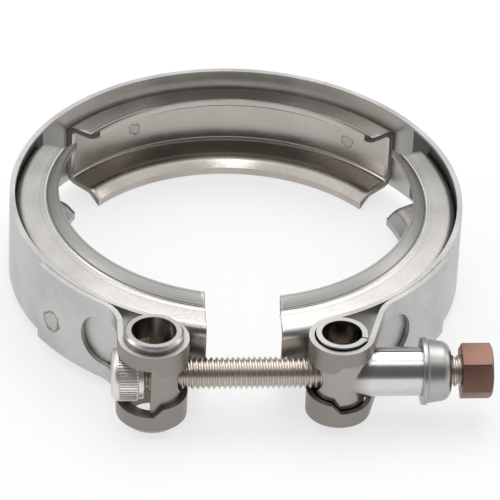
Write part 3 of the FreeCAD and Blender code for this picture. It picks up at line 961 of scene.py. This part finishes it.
def make_head():
    """The head with its knurl, and the neck under it."""
    stations = [(HEAD_START + along, HEAD_RADIUS - inwards) for along, inwards in HEAD_ROUND]
    stations += [
        (KNURL_START, HEAD_RADIUS),
        (KNURL_START + KNURL_EDGE, HEAD_RADIUS),
        (KNURL_START + 3 * KNURL_EDGE, HEAD_RADIUS),
        (KNURL_END - 3 * KNURL_EDGE, HEAD_RADIUS),
        (KNURL_END - KNURL_EDGE, HEAD_RADIUS),
        (KNURL_END, HEAD_RADIUS - KNURL_EDGE),
        (KNURL_END + NECK_STEP, NECK_RADIUS),
        (SHOULDER_X - NECK_CHAMFER, NECK_RADIUS),
        (SHOULDER_X, NECK_RADIUS - NECK_CHAMFER),
    ]
    bpy.ops.object.select_all(action="DESELECT")
    bpy.ops.mesh.primitive_circle_add(
        vertices=RIM_POINTS, radius=stations[0][1], fill_type="NGON",
        location=(stations[0][0], SCREW_Y, 0), rotation=(0, math.pi / 2, 0))
    piece = bpy.context.active_object
    piece.name = "tightening_screw"
    bpy.ops.object.transform_apply(location=True, rotation=True, scale=True)
    lathe_up(piece, stations)
    for vertex in piece.data.vertices:
        if KNURL_START + 2 * KNURL_EDGE < vertex.co.x < KNURL_END - 2 * KNURL_EDGE:
            spoke = Vector((0.0, vertex.co.y - SCREW_Y, vertex.co.z))
            number = round(math.atan2(spoke.z, spoke.y) / (2 * math.pi) * RIM_POINTS)
            if number % 3 == 0:
                vertex.co -= spoke.normalized() * GROOVE_DEPTH
    return piece


screw_piece = make_head()
bpy.ops.object.select_all(action="DESELECT")
thread.select_set(True)
screw_piece.select_set(True)
bpy.context.view_layer.objects.active = screw_piece
bpy.ops.object.join()
shade_smooth(screw_piece, 30.0)
screw_piece.data.materials.clear()
screw_piece.data.materials.append(FINISHES["screw_steel"])
screw_piece.data.materials.append(FINISHES["head_steel"])
for face in screw_piece.data.polygons:
    off_axis = abs(face.center.z) + abs(face.center.y - SCREW_Y)
    on_head = face.center.x < SHOULDER_X and off_axis > CREST_RADIUS
    face.material_index = 1 if on_head else 0
finish_piece(screw_piece, "screw", "screw_steel", "clamp_screw")

# %% [markdown]
# The collar on the sleeve's end is a turned cup with a thin rim and a domed
# end. Its half outline is spun once round the screw's axis.

# %% Spin the domed collar
COLLAR_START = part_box("sleeve_collar")[0].x
COLLAR_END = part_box("sleeve_collar")[1].x
COLLAR_LAP = 0.0021
COLLAR_SOCKET = 0.0047
COLLAR_BORE = 0.0033
COLLAR_FIT = 0.00005
RIM_THICKNESS = 0.0009
RIM_CORNER = 0.00012
RIM_CORNER_MIDDLE = 0.00623
BODY_RADIUS = 0.0060
FOOT_RADIUS = 0.0003
DOME_RADIUS = 0.0021
DOME_START_RADIUS = 0.00565
BORE_CHAMFER = 0.0001
INNER_END = COLLAR_START + COLLAR_LAP + COLLAR_FIT


def turned_piece(name, outline, steps=72):
    """A piece spun round the screw's axis from a closed outline of (x, radius) points."""
    piece = start_piece(name, [Vector((x, SCREW_Y - r, 0.0)) for x, r in outline])
    spin(piece, (1, 0, 0), (0, SCREW_Y, 0), 2 * math.pi, steps)
    return piece


def rounded_corner(x, radius, size, start, end, steps):
    """Points of a round corner about (x, radius); angles go from +X towards the rim."""
    turns = [math.radians(start + (end - start) * i / steps) for i in range(steps + 1)]
    return [(x + size * math.cos(t), radius + size * math.sin(t)) for t in turns]


collar_outline = [(COLLAR_START, COLLAR_SOCKET), (COLLAR_START, RIM_CORNER_MIDDLE - 0.00001)]
collar_outline += rounded_corner(
    COLLAR_START + RIM_CORNER, RIM_CORNER_MIDDLE, RIM_CORNER, 180, 90, 3)
collar_outline += rounded_corner(
    COLLAR_START + RIM_THICKNESS - RIM_CORNER, RIM_CORNER_MIDDLE, RIM_CORNER, 90, 0, 3)
collar_outline += rounded_corner(
    COLLAR_START + RIM_THICKNESS + FOOT_RADIUS, BODY_RADIUS + FOOT_RADIUS, FOOT_RADIUS, 180, 270, 4)
collar_outline += rounded_corner(
    COLLAR_END - DOME_RADIUS, DOME_START_RADIUS - DOME_RADIUS, DOME_RADIUS, 90, 0, 10)
collar_outline += [
    (COLLAR_END, COLLAR_BORE + BORE_CHAMFER), (COLLAR_END - BORE_CHAMFER, COLLAR_BORE),
    (INNER_END, COLLAR_BORE), (INNER_END, COLLAR_SOCKET)]
collar_piece = turned_piece("domed_collar", collar_outline)
shade_smooth(collar_piece, 40.0)
finish_piece(collar_piece, "clamp", "collar_steel", "sleeve_collar")

# %% [markdown]
# The nut is a hexagon bar cut to length, with its long edges softened a little.
# A lathe then drilled it and took the corners off one face. One Boolean with a
# turned ring does both here: only what lies inside the ring's outline is kept.

# %% Cut the nut
NUT_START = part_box("hex_nut")[0].x
NUT_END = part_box("hex_nut")[1].x
NUT_FLATS = 0.0095
NUT_CORNER = math.radians(41.3)
NUT_BORE = 0.00305
NUT_FACE_SHARE = 0.96
NUT_EDGE = 0.00012
NUT_CHAMFER = math.radians(30.0)
PAST_END = 0.0001


def keep_inside(piece, tool):
    """Keep only what of the piece lies inside the tool, and remove the tool."""
    cut = piece.modifiers.new("cut", "BOOLEAN")
    cut.object = tool
    cut.operation = "INTERSECT"
    cut.solver = "EXACT"
    apply_modifier(piece, cut)
    bpy.data.objects.remove(tool)


def make_nut():
    """The hexagon bar, cut by the turned ring."""
    corner = NUT_FLATS / 2 / math.cos(math.radians(30))
    points = []
    for count in range(6):
        turn = NUT_CORNER + math.radians(60 * count)
        across, up = corner * math.sin(turn), corner * math.cos(turn)
        points.append(Vector((NUT_START, SCREW_Y - across, up)))
    piece = start_piece("copper_nut", points)
    bpy.ops.object.mode_set(mode="EDIT")
    bpy.ops.mesh.select_all(action="SELECT")
    bpy.ops.mesh.edge_face_add()
    bpy.ops.mesh.extrude_region_move(TRANSFORM_OT_translate={"value": (NUT_END - NUT_START, 0, 0)})
    bpy.ops.mesh.select_all(action="SELECT")
    bpy.ops.mesh.normals_make_consistent(inside=False)
    bpy.ops.object.mode_set(mode="OBJECT")
    soften_edges(piece, NUT_EDGE, 2, 40.0)
    face_radius = NUT_FLATS / 2 * NUT_FACE_SHARE
    fall = (corner - face_radius) * math.tan(NUT_CHAMFER)
    envelope = turned_piece("nut_envelope", [
        (NUT_START - PAST_END, NUT_BORE),
        (NUT_START - PAST_END, corner - 2 * PAST_END),
        (NUT_START + 2 * PAST_END, corner + PAST_END),
        (NUT_END - fall, corner + PAST_END),
        (NUT_END, face_radius),
        (NUT_END + PAST_END, NUT_BORE)], 48)
    keep_inside(piece, envelope)
    return piece


nut_piece = make_nut()
shade_smooth(nut_piece, 25.0)
finish_piece(nut_piece, "nut", "copper_brown", "hex_nut")

# %% [markdown]
# The strap and the two trunnions keep the shapes that they came with, so they
# only need their finishes.

# %% Put the finishes on the CAD pieces
WHICH_FINISH = {
    "strap_band": "strap_steel",
    "left_trunnion": "left_trunnion_steel",
    "right_trunnion": "sleeve_steel",
}
for node_name, finish in WHICH_FINISH.items():
    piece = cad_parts[node_name]
    piece.data.materials.clear()
    piece.data.materials.append(FINISHES[finish])
    print(node_name, "wears", finish)
